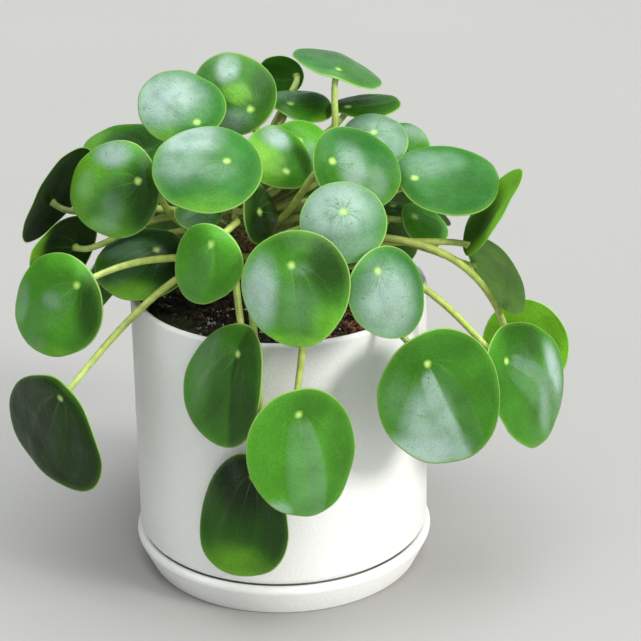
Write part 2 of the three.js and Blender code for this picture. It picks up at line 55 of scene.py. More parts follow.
# leaf_01 to leaf_48: eye, (azimuth, elevation) of the upper face, turn of the tip, length, width,
# share of the length behind the eye, drop of the margin, height share of the root on the trunk,
# and what else shapes it, such as the stalk's way past a point, its reach and its tilt
LEAF_ROWS = [
    ((32, 15, 259), (95, 70), 80, 50, 47, 0.12, 4, 0.9, {"stalk": ((47, 18, 208), 21, 21)}),
    ((-38, -5, 240), (0, 57), -150, 46, 43, 0.14, 5, 0.85, {}),
    ((-12, 15, 239), (-10, 37), -132, 45, 42, 0.19, 5, 0.95, {"stalk": (None, 18, 20)}),
    ((-23, -55, 238), (5, 54), -89, 53, 49, 0.32, 5, 0.95, {"stalk": ((-22, -34, 222), 14, 25)}),
    ((-66, -45, 225), (-26, 21), -68, 49, 47, 0.17, 6, 0.6, {"stalk": ((-62, 0, 176), 18, 20)}),
    ((-67, 20, 216), (-40, 65), -92, 48, 45, 0.15, 5, 0.7, {}),
    ((-112, -4, 200), (-120, 27), 153, 59, 55, 0.31, 4, 0.65, {"stalk": ((-60, 4, 206), 20, 20)}),
    ((-102, -5, 176), (-135, 14), 105, 44, 41, 0.25, 4, 0.55, {"stalk": ((-54, 10, 208), 18, 20)}),
    ((-97, -55, 176), (-31, 17), -45, 53, 50, 0.15, 5, 0.35, {"stalk": ((-55, -32, 181), 30, 50)}),
    ((-107, -70, 123), (-43, -5), -27, 63, 64, 0.12, 3, 0.35,
     {"stalk": ((-46, -34, 192), 24, 45), "egg": 0.3, "wave": (2, 2, 75)}),
    ((-31, -85, 208), (-30, 16), -21, 39, 36, 0.2, 5, 0.75, {"egg": -0.14}),
    ((-60, -15, 177), (-4, 60), -59, 48, 45, 0.32, 5, 0.3, {}),
    ((6, -105, 205), (-10, 27), 10, 54, 51, 0.31, 6, 0.45, {"stalk": ((-4, -55, 168), 20, 30)}),
    ((46, -100, 199), (33, 18), 28, 45, 42, 0.19, 5, 0.5, {"stalk": ((18, -45, 170), 18, 30)}),
    ((31, -80, 221), (0, 47), -4, 43, 41, 0.42, 5, 0.6, {"stalk": ((6, -30, 188), 18, 30)}),
    ((27, -45, 233), (30, 39), 71, 47, 44, 0.18, 5, 0.7, {"stalk": ((12, -26, 194), 18, 30)}),
    ((67, -30, 218), (28, 63), 87, 54, 48, 0.13, 5, 0.8, {}),
    ((49, 5, 229), (3, 63), 1, 37, 34, 0.45, 4, 0.85, {"stalk": ((24, 8, 200), 16, 20)}),
    ((5, -25, 221), (32, 50), 165, 37, 35, 0.22, 4, 1, {}),
    ((12, 0, 227), (2, 42), -9, 34, 32, 0.38, 4, 0.9, {"stalk": ((-4, 8, 210), 12, 15)}),
    ((12, 66, 239), (169, 9), 98, 24, 23, 0.16, 2, 0.9, {"stalk": ((-4, 62, 216), 8, 28)}),
    ((8, 34, 235), (52, 74), 83, 34, 32, 0.21, 3, 0.95, {"stalk": ((-6, 24, 214), 14, 20)}),
    ((37, 33, 233), (60, 88), 70, 37, 33, 0.15, 2, 0.9, {}),
    ((-8, -48, 209), (64, 15), 66, 32, 30, 0.26, 4, 0.9, {}),
    ((-33, -25, 204), (8, 64), -71, 24, 22, 0.25, 3, 0.9, {"stalk": (None, 8, 20)}),
    ((69, 2, 185), (48, 48), 49, 28, 26, 0.22, 3, 0.6, {"stalk": (None, 12, 20)}),
    ((59, 15, 186), (36, 84), 41, 24, 22, 0.48, 3, 0.5, {"stalk": ((42, 8, 168), 14, 10)}),
    ((95, -20, 177), (94, -34), -179, 50, 42, 0.08, 1, 0.55,
     {"stalk": ((64, -40, 188), 9, 10), "egg": -0.2}),
    ((101, 6, 157), (121, 15), -98, 48, 42, 0.06, 2, 0.5,
     {"stalk": ((56, -10, 194), 8, 25), "egg": 0.1}),
    ((122, 14, 106), (165, -8), -120, 45, 47, 0.36, 3, 0.45,
     {"stalk": ((114, -64, 228), 16, 20), "egg": 0.1}),
    ((111, -52, 129), (54, 20), 45, 70, 62, 0.17, 3, 0.25,
     {"stalk": ((67, -40, 200), 12, 40), "fold": 4, "egg": 0.2, "wave": (4, 2, 295)}),
    ((70, -85, 144), (20, 11), 22, 69, 63, 0.2, 3, 0.3, {"fold": 4}),
    ((-20, -102, 159.5), (-54, 15), -31, 66, 54, 0.21, 3, 0.3,
     {"stalk": ((-32, -58, 207), 9, 0), "fold": 4, "egg": 0.3, "wave": (1.2, 2, 146)}),
    ((8, -116, 134), (15, 0), 6, 69, 53, 0.17, 3, 0.35,
     {"stalk": ((26, -71, 186), 14, 30), "fold": 3}),
    ((-15, -94, 90), (-40, 6), -14, 66, 53, 0.16, 2, 0.3,
     {"stalk": ((-22, -88, 208), 20, 50), "egg": 0.1, "wave": (6, 2, 149)}),
    ((62, 8, 221), (5, 62), 160, 32, 30, 0.4, 4, 0.75, {"stalk": ((36, 14, 192), 14, 5)}),
    ((-22, 62, 200), (180, 55), 10, 50, 47, 0.3, 5, 0.8, {}),
    ((27, 68, 194), (165, 50), -10, 52, 49, 0.28, 5, 0.75, {}),
    ((-64, 52, 186), (-145, 45), 15, 54, 50, 0.26, 5, 0.6, {}),
    ((66, 46, 186), (135, 45), -15, 48, 45, 0.28, 5, 0.6, {}),
    ((2, 100, 168), (180, 28), 5, 58, 54, 0.24, 5, 0.5, {"stalk": ((-4, 40, 196), 20, 35)}),
    ((-46, 92, 158), (-158, 28), 12, 56, 53, 0.25, 5, 0.45, {"stalk": ((-28, 40, 190), 20, 35)}),
    ((50, 92, 156), (152, 28), -8, 55, 52, 0.24, 5, 0.45, {"stalk": ((24, 40, 190), 20, 35)}),
    ((-90, 46, 150), (-122, 25), 10, 52, 49, 0.25, 5, 0.4, {"stalk": ((-50, 28, 186), 20, 35)}),
    ((52, 50, 205), (140, 62), -12, 42, 39, 0.28, 4, 0.7, {}),
    ((2, 116, 114), (-176, 8), 4, 62, 58, 0.2, 5, 0.35, {"stalk": ((-2, 70, 212), 26, 50)}),
    ((46, 106, 110), (160, 8), -6, 56, 53, 0.2, 5, 0.3, {"stalk": ((28, 72, 212), 26, 50)}),
    ((-46, 104, 108), (-158, 10), 8, 54, 50, 0.2, 5, 0.3, {"stalk": ((-32, 74, 212), 26, 40)}),
]
LEAVES = [(f"leaf_{k:02d}", *row) for k, row in enumerate(LEAF_ROWS, 1)]

# ---- looks ----

# greens, in sRGB
# these greens carry painted light and shade: the darkest paint blades in shadow, the brighter ones
# lit blades, the cool one blades with a sheen
MID = (0.21, 0.43, 0.1)
LIVE = (0.25, 0.49, 0.13)
FRESH = (0.27, 0.53, 0.13)
DEEP = (0.15, 0.32, 0.07)
DARK = (0.09, 0.2, 0.03)
COOL = (0.2, 0.43, 0.17)
# painted glow: the lime green of light shining through a blade
GLOW_LIME = (0.45, 0.7, 0.15)
UNDER = (0.31, 0.47, 0.18)
DULL = (0.53, 0.72, 0.36)

# the upper face's tones left and right of the middle, which paint one side lighter than the other
# where they differ, and the leaves (by number) that have them
FACES = {
    (MID, COOL): (1, 16),
    (COOL, COOL): (2, 4, 14, 15, 17, 18),
    (MID, MID): (3, 6, 21, 25, 29, 31, 32),
    (LIVE, LIVE): (5, 19, 28, 33),
    (DARK, DARK): (7, 8, 10, 24),
    (FRESH, FRESH): (9, 11, 20, 26),
    (DEEP, DEEP): (12, 23, 35),
    (FRESH, LIVE): (13, 34),
    (GLOW_LIME, GLOW_LIME): (30,),
}
UNDERSIDES = {7: DARK, 8: DARK, 21: MID, 28: GLOW_LIME, 29: DULL, 30: GLOW_LIME}
LOOKS = {
    number: (*tones, UNDERSIDES.get(number, UNDER))
    for tones, numbers in FACES.items()
    for number in numbers
}
PLAIN_LOOK = (MID, MID, UNDER)

# soft zones of painted light and shade on a blade, by the leaf's number: rightwards and upwards
# from its middle, half width, half height, strength. These first ones are painted sheen, a pale
# reflection of the sky
PAINTED_SHEEN_ZONES = {
    1: [(0, 0, 1.4, 1.4, 0.12)],
    2: [(-0.35, 0.15, 1, 0.85, 1)],
    3: [(-0.17, 0.54, 0.32, 0.42, 0.95), (0, -0.65, 0.6, 0.3, 0.4)],
    4: [(-0.28, 0.62, 0.7, 0.55, 1), (-0.5, 0.1, 0.6, 0.5, 0.5), (0.1, -0.2, 0.5, 0.2, 0.3)],
    5: [
        (-0.1, 0.68, 0.5, 0.3, 0.9), (-0.6, 0, 0.3, 0.4, 0.2),
        (0.1, -0.35, 0.3, 0.4, 0.3), (-0.1, -0.7, 0.4, 0.2, 0.35),
    ],
    9: [(-0.8, -0.1, 0.22, 0.45, 0.35), (0, 0.12, 0.3, 0.2, 0.35), (-0.4, -0.75, 0.3, 0.22, 0.2)],
    12: [(-0.4, 0.3, 0.6, 0.4, 0.2)],
    13: [
        (-0.64, -0.12, 0.42, 0.7, 0.95), (0.1, 0.32, 0.25, 0.14, 0.2),
        (0, -0.3, 0.5, 0.5, 0.14),
    ],
    14: [(-0.15, -0.15, 0.85, 0.95, 0.85)],
    15: [(-0.15, 0.3, 1.05, 0.9, 0.85), (0.1, -0.4, 0.8, 0.6, 0.4)],
    16: [(-0.2, 0, 0.4, 0.6, 0.65), (0.25, -0.4, 0.4, 0.4, 0.35)],
    17: [(-0.35, 0.35, 0.6, 0.5, 0.45), (0.2, 0.3, 0.4, 0.35, 0.3)],
    18: [(0, 0, 1.3, 1.3, 0.6)],
    19: [(0.15, 0.5, 0.42, 0.5, 0.95)],
    20: [(0.35, -0.1, 0.3, 0.4, 0.4)],
    25: [(-0.1, -0.4, 1, 0.8, 0.25)],
    31: [(0.8, -0.1, 0.25, 0.45, 1), (0.25, -0.45, 0.22, 0.5, 0.45), (0, 0.2, 0.3, 0.3, 0.12)],
    32: [
        (-0.4, -0.75, 0.8, 0.38, 1), (-0.3, -0.3, 0.45, 0.6, 0.75),
        (-0.75, 0.1, 0.25, 0.4, 0.15),
    ],
    33: [(-0.65, 0, 0.4, 0.9, 0.08)],
    34: [(-0.5, -0.84, 0.3, 0.16, 1)],
}
# painted shade on blades, where other leaves shadow them or they turn from the light
PAINTED_SHADE_ZONES = {
    3: [(0.75, 0.1, 0.4, 0.9, 0.6), (-0.4, -0.3, 0.35, 0.45, 0.45)],
    5: [(0.8, 0, 0.5, 1, 0.95), (0.3, -0.1, 0.3, 0.4, 0.4)],
    6: [(0.3, 0.3, 0.8, 0.7, 0.75)],
    9: [(0.9, 0.15, 0.45, 1, 0.95), (0.1, 0.55, 0.6, 0.25, 0.35)],
    12: [(0.7, 0.1, 0.7, 1, 0.85), (0, 0.8, 0.9, 0.4, 0.5)],
    13: [(0.65, 0.5, 0.65, 0.8, 1), (0, 0.85, 0.8, 0.3, 0.5)],
    16: [(0.3, 0.6, 0.5, 0.4, 0.3)],
    17: [(0.25, -0.7, 1.1, 0.8, 0.45)],
    19: [(0.65, -0.35, 0.4, 0.7, 0.75)],
    28: [(0.35, -0.65, 0.72, 0.7, 0.85)],
    30: [(0.6, -0.3, 0.8, 1.1, 0.5)],
    31: [(0.2, 0.6, 0.7, 0.5, 0.55)],
    32: [(0.3, 0.75, 1, 0.5, 0.3), (0.6, -0.3, 0.6, 0.9, 0.22)],
    33: [(0.1, 0.85, 0.9, 0.35, 0.4), (0.05, -0.1, 0.35, 0.8, 0.35)],
    34: [(0.2, 0.8, 0.7, 0.3, 0.3), (0.7, 0, 0.3, 0.7, 0.25)],
    35: [(-0.1, 0.7, 1.1, 0.9, 1), (0.7, 0, 0.4, 0.9, 0.5)],
}
# painted glow of light shining through a blade, lime green
PAINTED_GLOW_ZONES = {
    2: [(-0.5, -0.85, 0.6, 0.35, 0.4)],
    3: [(0.1, -0.07, 0.45, 0.3, 0.6)],
    4: [(-0.2, -0.85, 1, 0.3, 0.3)],
    5: [
        (-0.8, -0.05, 0.45, 1, 0.6), (-0.2, -0.85, 0.8, 0.3, 0.5),
        (-0.35, 0.25, 0.45, 0.35, 0.35),
    ],
    6: [(-0.85, -0.2, 0.4, 0.7, 0.5)],
    8: [(0.9, 0, 0.4, 1.2, 0.8), (0.4, -0.9, 0.8, 0.3, 0.5)],
    9: [(0, -0.9, 0.8, 0.2, 0.4)],
    12: [(-0.2, -0.85, 0.9, 0.35, 0.6)],
    13: [(0.6, -0.6, 0.35, 0.4, 0.25), (0, -0.92, 0.7, 0.15, 0.5)],
    19: [(-0.6, 0, 0.6, 0.9, 0.8)],
    20: [(0.2, 0.1, 0.7, 0.7, 0.12)],
    35: [(0, -0.85, 0.8, 0.4, 0.45)],
}
# a crease with a painted shaded side: where it runs, how it slants, how dark
CREASES = {10: (-0.1, 0.3, -0.35), 33: (0.3, -0.02, 0.8)}
# the strip between the two arching veins: painted sheen and a brightness that paints light and
# shade, left and right of the middle
STRIPS = {
    10: (0, 0, 0.7, 1.3),
    13: (0.05, 0.03, 0.92, 0.9),
    17: (0.04, 0.04, 0.97, 0.97),
    24: (0, 0, 0.9, 0.9),
    31: (0.12, 0.3, 1, 0.9),
    32: (0.75, 0.05, 1, 0.85),
    33: (0.02, 0, 0.88, 0.8),
    34: (0.16, 0.2, 0.97, 0.97),
    35: (0, 0, 0.9, 0.9),
}
PLAIN_STRIP = (0.06, 0.06, 0.92, 0.92)
ARC = 0.62  # how wide the strip is


def linear(colour):
    """Scene-linear RGBA of an sRGB colour."""
    lit = (c / 12.92 if c <= 0.04045 else ((c + 0.055) / 1.055) ** 2.4 for c in colour)
    return (*lit, 1.0)


def smooth(low, high, x):
    """From 0 at low to 1 at high, with soft ends."""
    t = np.clip((x - low) / (high - low), 0, 1)
    return t * t * (3 - 2 * t)


def unit(v):
    return v / np.linalg.norm(v)


# ---- materials ----

NOISE_SPAN = (0.3, 0.7)  # where nearly all of a noise's values lie
VEIN = (0.62, 0.76, 0.40)
# painted sheen: the pale blue-green of the sky reflected in a blade
PAINTED_SHEEN_COLOUR = (0.60, 0.69, 0.645)
MARGIN = (0.50, 0.74, 0.24)
SPECK = (0.62, 0.74, 0.50)
EYE_SPOT = (0.72, 0.86, 0.44)
LEAF_EDGE = (0.62, 0.78, 0.42)
STALK_TONES = ((0.36, 0.38, 0.15), (0.66, 0.73, 0.35), (0.74, 0.82, 0.45), (0.76, 0.86, 0.46))
STALK_FLECK = (0.45, 0.42, 0.22)
YOUNG_TONES = ((0.55, 0.60, 0.24), (0.78, 0.80, 0.42))
BARK_TONES = ((0.38, 0.26, 0.18), (0.56, 0.43, 0.28))
BARK_DARK, BARK_GLINT, BARK_SCAR = (0.19, 0.11, 0.075), (0.74, 0.56, 0.42), (0.70, 0.60, 0.42)
CERAMIC, CERAMIC_PIT = (0.94, 0.94, 0.925), (0.80, 0.79, 0.76)
LOW_GLOSS = 1.32  # index of refraction of the leaves and of the matt ceramic


class Shader:
    """The nodes of a material or world, with short calls for the few kinds used here."""

    def __init__(self, name, kind="materials"):
        self.owner = getattr(bpy.data, kind).new(name)
        self.owner.use_nodes = True
        self.tree = self.owner.node_tree

    def node(self, kind, inputs, **settings):
        made = self.tree.nodes.new(kind)
        for key, value in settings.items():
            setattr(made, key, value)
        for key, value in inputs.items():
            self.put(made.inputs[key], value)
        return made

    def put(self, socket, value):
        if isinstance(value, bpy.types.NodeSocket):
            self.tree.links.new(value, socket)
        else:
            socket.default_value = value

    def math(self, operation, a, b=0.0, clamp=False):
        made = self.node("ShaderNodeMath", {0: a, 1: b}, operation=operation, use_clamp=clamp)
        return made.outputs[0]

    def plus(self, a, b):
        return self.math("ADD", a, b)

    def minus(self, a, b, clamp=False):
        return self.math("SUBTRACT", a, b, clamp)

    def times(self, a, b, clamp=False):
        return self.math("MULTIPLY", a, b, clamp)

    def remap(self, value, low, high, to_low=0.0, to_high=1.0):
        ends = {"From Min": low, "From Max": high, "To Min": to_low, "To Max": to_high}
        inputs = {"Value": value, **ends}
        made = self.node("ShaderNodeMapRange", inputs, interpolation_type="SMOOTHSTEP")
        return made.outputs["Result"]

    def mix(self, factor, a, b, blend="MIX"):
        """Two colours mixed, each a socket or an sRGB value."""
        a, b = (linear(c) if isinstance(c, tuple) else c for c in (a, b))
        inputs = {0: factor, 6: a, 7: b}
        return self.node("ShaderNodeMix", inputs, data_type="RGBA", blend_type=blend).outputs[2]

    def noise(self, scale, detail=2.0, rough=0.5, where=None):
        where = where or self.node("ShaderNodeTexCoord", {}).outputs["Object"]
        inputs = {"Scale": scale, "Detail": detail, "Roughness": rough, "Vector": where}
        return self.node("ShaderNodeTexNoise", inputs).outputs["Fac"]

    def clouds(self, low, high, scale, detail=2.0):
        """Noise that wanders between two values."""
        return self.remap(self.noise(scale, detail), *NOISE_SPAN, low, high)

    def flecks(self, strength, scale, detail=1.0, span=(0.68, 0.76), rough=0.5):
        """Noise that is 0 but for sparse flecks."""
        return self.remap(self.noise(scale, detail, rough), *span, 0.0, strength)

    def attribute(self, name, output="Fac"):
        return self.node("ShaderNodeAttribute", {}, attribute_name=name).outputs[output]

    def surface(self, colour, rough, relief=None, distance=0.0, **more):
        """The finished material, with other inputs by their names."""
        values = {"Base_Color": colour, "Roughness": rough, **more}
        if relief:
            bump = self.node("ShaderNodeBump", {"Height": relief, "Distance": distance})
            values["Normal"] = bump.outputs["Normal"]
        for key, value in values.items():
            self.put(self.tree.nodes["Principled BSDF"].inputs[key.replace("_", " ")], value)
        return self.owner


def blade_material():
    """A living blade: tones with painted light and shade, veins, painted sheen, the eye over the
    stalk and a thin rim.
    """
    s = Shader("living_leaf")
    tone = s.attribute("tone", "Color")
    names = ("rim", "eye", "under", "along", "aside", "painted_sheen")
    rim, eye, under, along, across, painted_sheen = (s.attribute(name) for name in names)
    aside = s.math("ABSOLUTE", across)
    upper = s.minus(1.0, under)

    # cloudy green, and a finer grain
    shade = s.times(s.clouds(0.86, 1.16, 55.0, 3.0), s.clouds(0.9, 1.1, 1100.0))
    green = s.mix(1.0, tone, shade, "MULTIPLY")

    # the main veins leave the eye in arcs and meet again at the tip
    onward = s.math("MAXIMUM", along, 0.0)
    closing = s.math("POWER", s.minus(1.02, onward, True), 0.35)
    arc = s.times(s.math("POWER", onward, 0.5), closing)
    lines = s.remap(aside, 0.005, 0.022, 1.0, 0.0)
    for spread in (ARC, 1.15):
        offset = s.math("ABSOLUTE", s.minus(aside, s.times(arc, spread)))
        lines = s.math("MAXIMUM", lines, s.remap(offset, 0.006, 0.028, 0.7, 0.0))
    fading = s.remap(eye, 3.0, 18.0, 0.24, 0.05)
    veins = s.times(s.times(lines, s.remap(along, -0.02, 0.1)), fading)
    green = s.mix(veins, green, s.mix(0.55, green, VEIN))

    # painted sheen, a pale reflection of the sky, broken up in grains, in rays from the eye and in
    # pocks
    sheen_breakup = s.plus(s.times(s.noise(1500.0), 0.6), s.noise(120.0, 3.0))
    sheen_breakup = s.remap(sheen_breakup, 0.58, 1.0, 0.68, 1.12)
    turn = s.times(s.math("ARCTAN2", across, along), 7.0)
    spoke = s.node("ShaderNodeCombineXYZ", {0: turn, 1: s.times(eye, 0.04)}).outputs[0]
    rays = s.remap(s.noise(1.0, where=spoke), 0.5, 0.64, 0.0, 0.6)
    rays = s.times(rays, s.remap(eye, 2.0, 12.0, 1.0, 0.0))
    sheen_breakup = s.minus(sheen_breakup, s.math("MAXIMUM", rays, s.flecks(0.6, 620.0)), True)
    green = s.mix(s.times(painted_sheen, sheen_breakup, True), green, PAINTED_SHEEN_COLOUR)

    # a brighter margin, pale specks, the eye and the thin rim
    margin = s.times(s.remap(rim, 0.0, 4.5, 0.3, 0.0), upper)
    green = s.mix(margin, green, s.mix(0.5, green, MARGIN))
    green = s.mix(s.times(s.flecks(0.22, 2300.0), upper), green, SPECK)
    ragged = s.plus(eye, s.times(s.minus(s.noise(500.0), 0.5), 1.2))
    green = s.mix(s.remap(ragged, 0.2, 2.7, 0.9, 0.0), green, EYE_SPOT)
    green = s.mix(s.remap(rim, 0.15, 0.9, 0.7, 0.0), green, LEAF_EDGE)

    relief = s.plus(s.times(s.noise(140.0, 3.0), 0.6), s.times(s.noise(1300.0), 0.12))
    return s.surface(
        green,
        s.plus(s.clouds(0.24, 0.40, 1500.0), s.times(under, 0.25)),
        s.minus(relief, s.times(veins, 0.25)),
        0.0009,
        IOR=LOW_GLOSS,
        Specular_Tint=(0.72, 1.0, 0.62, 1.0),
        Subsurface_Weight=0.05,
        Subsurface_Radius=(0.5, 1.0, 0.25),
        Subsurface_Scale=0.001,
    )


def petiole_material():
    """Leaf stalks, from the dull root to the pale joint with the blade."""
    s = Shader("leaf_stalk")
    along = s.attribute("along")
    root, middle, tip, joint = STALK_TONES
    colour = s.mix(s.remap(along, 0.05, 0.35), root, middle)
    colour = s.mix(s.remap(along, 0.5, 0.95), colour, tip)
    colour = s.mix(s.remap(along, 0.92, 0.98), colour, joint)
    colour = s.mix(1.0, colour, s.clouds(0.84, 1.12, 260.0, 3.0), "MULTIPLY")
    colour = s.mix(s.flecks(0.35, 900.0, 2.0, (0.62, 0.72)), colour, STALK_FLECK)
    rough, relief = s.clouds(0.32, 0.5, 600.0), s.noise(800.0, 3.0)
    return s.surface(colour, rough, relief, 0.0002, Subsurface_Weight=0.1, Subsurface_Scale=0.001)


def young_material():
    """The unfolding leaves, paler towards their tips."""
    s = Shader("young_leaf")
    colour = s.mix(s.attribute("along"), *YOUNG_TONES)
    colour = s.mix(1.0, colour, s.clouds(0.82, 1.1, 400.0, 3.0), "MULTIPLY")
    return s.surface(colour, s.clouds(0.35, 0.55, 700.0), s.noise(900.0, 3.0), 0.0002)


def bark_material():
    """The trunk: brown, paler upwards, with dark flecks, flecks of painted highlight and leaf
    scars.
    """
    s = Shader("woody_trunk")
    high = s.attribute("along")
    colour = s.mix(s.remap(high, 0.1, 0.9), *BARK_TONES)
    dark_flecks = s.flecks(0.85, 300.0, 5.0, (0.38, 0.62), 0.65)
    colour = s.mix(dark_flecks, colour, BARK_DARK)
    # flecks of painted highlight
    colour = s.mix(s.flecks(0.7, 700.0, 3.0, (0.58, 0.7)), colour, BARK_GLINT)
    colour = s.mix(s.times(s.attribute("scar"), 0.7), colour, BARK_SCAR)
    return s.surface(colour, s.clouds(0.6, 0.9, 500.0, 3.0), s.noise(500.0, 6.0, 0.7), 0.0012)


def mottled_material(name, dark, light, scale, relief, rough=(0.75, 0.98), fleck=None):
    """Noise between two colours with a relief to match, and flecks of a third."""
    s = Shader(name)
    cloud = s.remap(s.noise(scale, 5.0, 0.62), 0.34, 0.68)
    colour = s.mix(cloud, dark, light)
    if fleck:
        colour = s.mix(s.flecks(0.8, scale * 3.1, 2.0, (0.63, 0.7)), colour, fleck)
    roughness = s.clouds(*rough, scale * 1.7, 3.0)
    return s.surface(colour, roughness, s.noise(scale * 2.0, 5.0, 0.65), relief)


def ceramic_material():
    """White matt ceramic, a little uneven, with fine pits."""
    s = Shader("matt_ceramic")
    cloud = s.times(s.clouds(0.97, 1.0, 14.0, 3.0), s.clouds(0.985, 1.0, 420.0, 3.0))
    colour = s.mix(1.0, CERAMIC, cloud, "MULTIPLY")
    colour = s.mix(s.flecks(0.18, 900.0), colour, CERAMIC_PIT)
    relief = s.plus(s.noise(700.0, 4.0), s.times(s.noise(60.0, 2.0), 1.5))
    return s.surface(colour, s.clouds(0.4, 0.52, 160.0, 3.0), relief, 0.00022, IOR=LOW_GLOSS)


# ---- meshes ----


def placed(name, data):
    """A new object in the scene."""
    thing = bpy.data.objects.new(name, data)
    bpy.context.scene.collection.objects.link(thing)
    return thing


def add_piece(
    name, points, faces, material, replaced, slot, smooth_faces=True, floats=None, tones=None
):
    """A mesh object of points in mm, standing for the CAD node named."""
    mesh = bpy.data.meshes.new(name)
    mesh.from_pydata((np.array(points, float) * MM).tolist(), [], faces)
    for key, values in (floats or {}).items():
        layer = mesh.attributes.new(key, "FLOAT", "POINT")
        layer.data.foreach_set("value", np.asarray(values, dtype=np.float32))
    if tones is not None:
        layer = mesh.attributes.new("tone", "FLOAT_COLOR", "POINT")
        layer.data.foreach_set("color", np.asarray(tones, dtype=np.float32).ravel())
    if smooth_faces:
        mesh.polygons.foreach_set("use_smooth", [True] * len(mesh.polygons))
    mesh.materials.append(material)
    mesh.update()
    piece = placed(name, mesh)
    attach(piece, BODY)
    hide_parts(replaced)
    return piece


def around(count, turn=0.0):
    """Angles all round a circle, turned by a share of their step."""
    return [2 * math.pi * (i + turn) / count for i in range(count)]


def circle(radius, height, count, turn=0.0):
    """Points of a level ring about Z."""
    return [(radius * math.cos(a), radius * math.sin(a), height) for a in around(count, turn)]


def stack(rings, flip=False, closed=False):
    """Points and faces of a body made of rings of points, one after the other.

    A ring of one point is a pole. Other ends are capped, or joined if the body is closed.
    """
    sides = max(len(ring) for ring in rings)
    points, rows = [], []
    for ring in rings:
        first, step = len(points), len(ring) > 1
        rows.append([first + i * step for i in range(sides)])
        points.extend(ring)
    faces = []
    if closed:
        rows.append(rows[0])
    elif len(rings[0]) > 1:
        start, end = tuple(rows[0]), tuple(rows[-1])
        faces += [start[::-1], end] if flip else [start, end[::-1]]
    for low, high in zip(rows, rows[1:]):
        for i, j in zip(range(sides), (*range(1, sides), 0)):
            across, along = (low[j], high[i]) if flip else (high[i], low[j])
            face = tuple(dict.fromkeys((low[i], across, high[j], along)))
            if len(face) > 2:
                faces.append(face)
    return points, faces


def joined(parts):
    """The points and faces of several small meshes, as one."""
    points, faces = [], []
    for new, rings in parts:
        faces += [tuple(i + len(points) for i in face) for face in rings]
        points += new
    return points, faces


# ---- pot and saucer ----

TURN_SIDES = 144
SHARP_ANGLE = 34  # edges sharper than this stay crisp


def corner(centre, radius, start, end, steps):
    """Points of a round corner: an arc about [r, z], between two angles in degrees."""
    arc = [math.radians(start + (end - start) * i / steps) for i in range(steps + 1)]
    return [(centre[0] + radius * math.cos(a), centre[1] + radius * math.sin(a)) for a in arc]


def pot_inside():
    """The middle of the rounded corner between the pot's wall and floor, as [r, z]."""
    across = POT["radius"] - POT["wall"] - POT["inner_round"]
    return across, POT["bottom"] + POT["floor"] + POT["inner_rise"]


def pot_profile():
    p = POT
    lip, heel = p["wall"] / 2, p["radius"] - p["heel_radius"]
    floor_top = p["bottom"] + p["floor"]
    return [
        (p["drain_radius"], p["bottom"]),
        (p["foot_radius"], p["bottom"]),
        (heel - p["step"][0], p["heel_top"] - p["heel_radius"] - p["step"][1]),
        *corner((heel, p["heel_top"]), p["heel_radius"], -80, 0, 10),
        *((p["radius"], p["heel_top"] + h) for h in (20, 60, 100)),
        *corner((p["radius"] - lip, p["top"] - lip), lip, 0, 180, 12),
        *corner(pot_inside(), p["inner_round"], 0, -60, 6),
        (p["floor_radius"], floor_top),
        (p["drain_radius"], floor_top),
    ]


def saucer_profile():
    s = SAUCER
    crest, base = (s["crest_radius"] - s["crest_inner"]) / 2, s["base_radius"] - s["edge_round"]
    return [
        (0, 0),
        (base - 1, 0),
        *corner((base, s["edge_round"]), s["edge_round"], -90, -15, 4),
        *corner((s["crest_radius"] - crest, s["crest_top"] - crest), crest, -20, 180, 14),
        (s["crest_inner"] - s["inner_foot"][0], s["floor_top"] + s["inner_foot"][1]),
        (s["floor_radius"], s["floor_top"]),
        (0, s["floor_top"]),
    ]


def make_pot(material):
    for name, node, profile in (
        ("pot_cylinder", "pot", pot_profile()),
        ("saucer_dish", "saucer", saucer_profile()),
    ):
        rings = [circle(r, z, TURN_SIDES if r else 1) for r, z in profile]
        points, faces = stack(rings, flip=True, closed=node == "pot")
        piece = add_piece(name, points, faces, material, node, "ceramic")
        piece.data.set_sharp_from_angle(angle=math.radians(SHARP_ANGLE))


# ---- potting mix ----

SOIL_SIDES, SOIL_RINGS = 150, 46
SOIL_EDGE = POT["radius"] - POT["wall"] - GAP
BITS_WITHIN, BITS_SPREAD = 69, 69.5  # how far out the loose bits lie, and are strewn
TRUNK_CLEAR = 7.5  # the bits keep this far from the trunk
STRAND_STEPS = 6


def soil_height(x, y):
    """Height in mm of the potting mix at a place: a low mound, lumps and crumbs."""
    inwards = 1 - math.hypot(x, y) / SOIL_EDGE
    lumps = 1.2 * math.sin(x / 7 + 1) * math.cos(y / 9)
    lumps += 0.8 * math.sin((x + y) / 4.5) * math.sin(y / 5 + 2)
    coarse = noise.fractal(Vector((x / 9, y / 9, 3.0)), 0.8, 2.2, 4)
    return SOIL["top"] + (SOIL["mound"] + SOIL["rough"] * lumps) * inwards + 1.1 * coarse


def make_soil(material):
    """The body of potting mix, lumpy above and fitted into the pot below."""
    base = POT["bottom"] + POT["floor"] + GAP
    rings = [[(0, 0, soil_height(0, 0))]]
    for k in range(1, SOIL_RINGS + 1):
        ring = circle(SOIL_EDGE * k / SOIL_RINGS, 0, SOIL_SIDES, 0.5 * (k % 2))
        rings.append([(x, y, soil_height(x, y)) for x, y, _ in ring])
    lower = corner(pot_inside(), POT["inner_round"] - GAP, 0, -60, 3)
    lower.append((POT["floor_radius"] - GAP, base))
    rings += [circle(r, z, SOIL_SIDES) for r, z in lower]
    rings.append([(0, 0, base)])
    add_piece("potting_mix", *stack(rings), material, "soil", "soil")


def ball():
    """Points and faces of a plain ball of radius 1."""
    shape = bmesh.new()
    bmesh.ops.create_icosphere(shape, subdivisions=1, radius=1)
    points = [tuple(v.co) for v in shape.verts]
    faces = [tuple(v.index for v in f.verts) for f in shape.faces]
    shape.free()
    return points, faces


